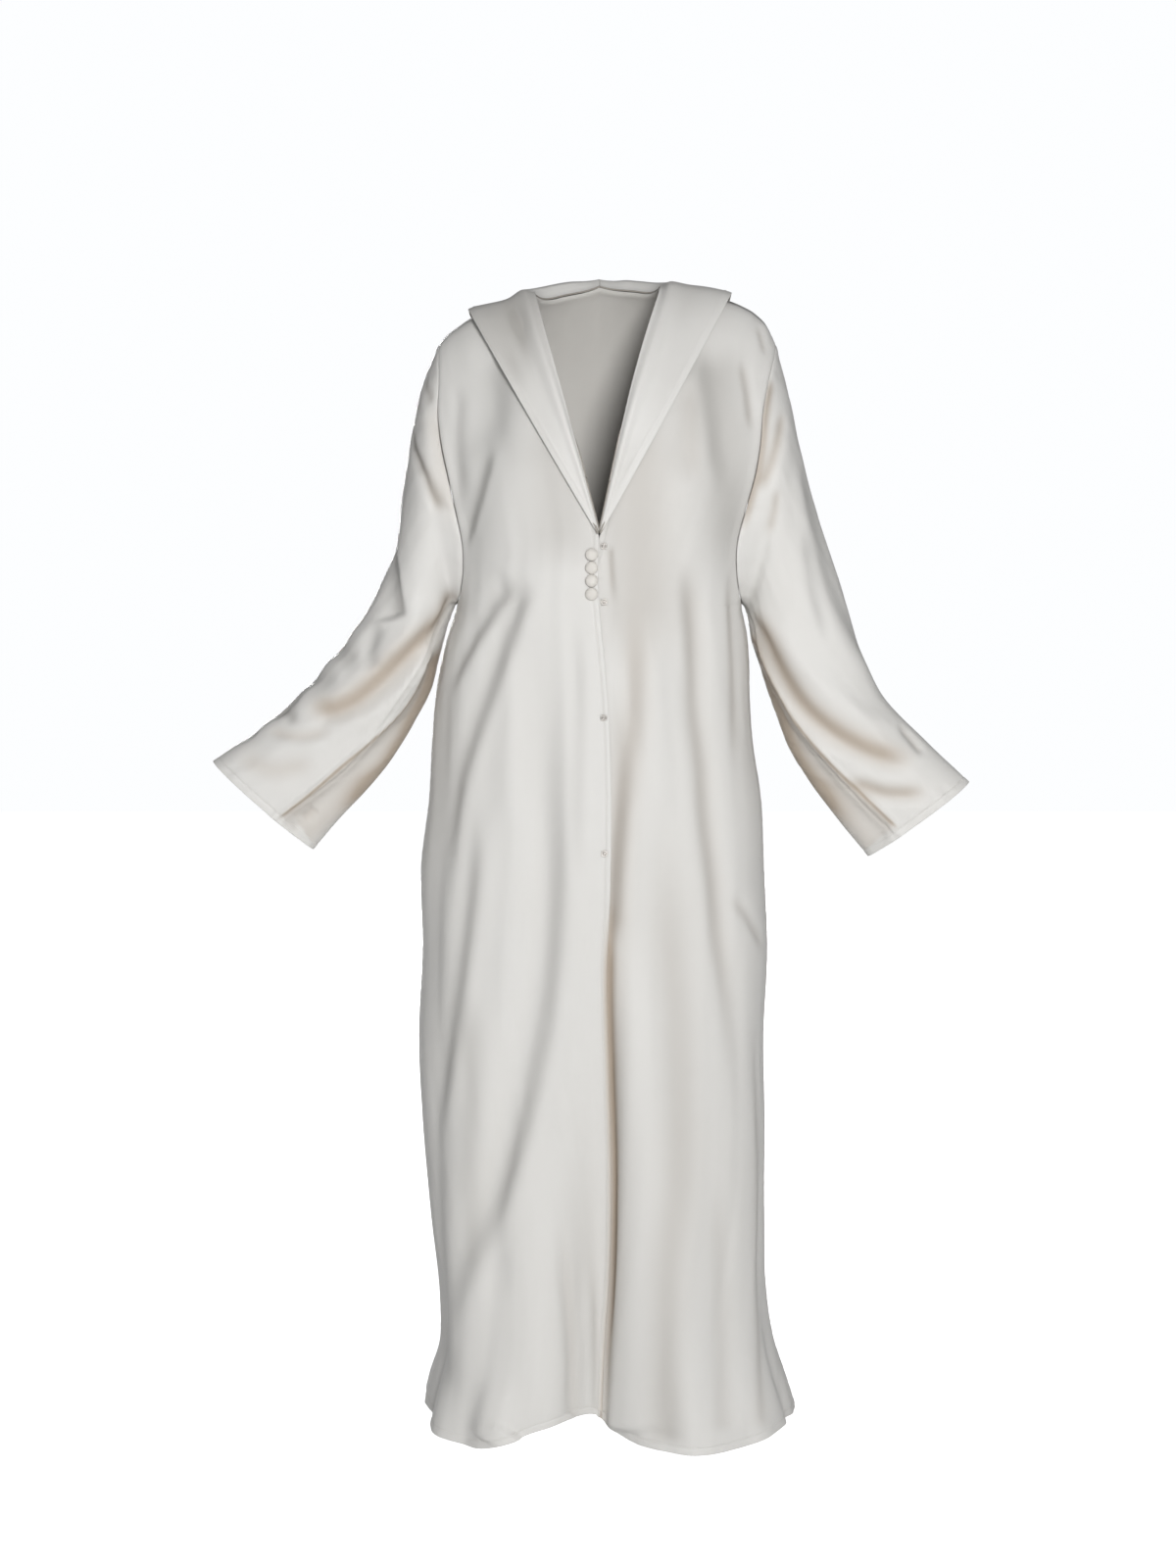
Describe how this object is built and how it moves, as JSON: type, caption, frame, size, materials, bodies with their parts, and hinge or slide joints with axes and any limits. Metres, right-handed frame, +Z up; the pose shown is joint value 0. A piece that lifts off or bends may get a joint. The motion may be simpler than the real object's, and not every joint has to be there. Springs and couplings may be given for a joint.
{
  "type": "abaya cloak",
  "caption": "Full-length, long-sleeved satin overgarment with a shawl collar over a V neck, closed by covered buttons and press studs, in its worn hollow form.",
  "frame": {"origin": "between the tops of the shoulders, where the wearer holds the garment up", "axes": "+Z up along the wearer's height, -Y is the way the wearer faces, +X is the wearer's left"},
  "size_m": [0.888, 0.3437, 1.3582],
  "materials": {
    "satin": "champagne satin with a soft sheen, matt on its inner side",
    "collar_satin": "the same champagne satin, pressed",
    "covered_button": "champagne satin drawn tight over a dome",
    "press_stud": "small clear and nickel press stud"
  },
  "bodies": {
    "root": {"front_right": "satin", "front_left": "satin", "back": "satin", "sleeve_right": "satin", "sleeve_left": "satin", "collar_right": "collar_satin", "collar_left": "collar_satin", "button_1": "covered_button", "button_2": "covered_button", "button_3": "covered_button", "button_4": "covered_button", "snap_1": "press_stud", "snap_2": "press_stud", "snap_3": "press_stud", "snap_4": "press_stud"}
  },
  "joints": []
}
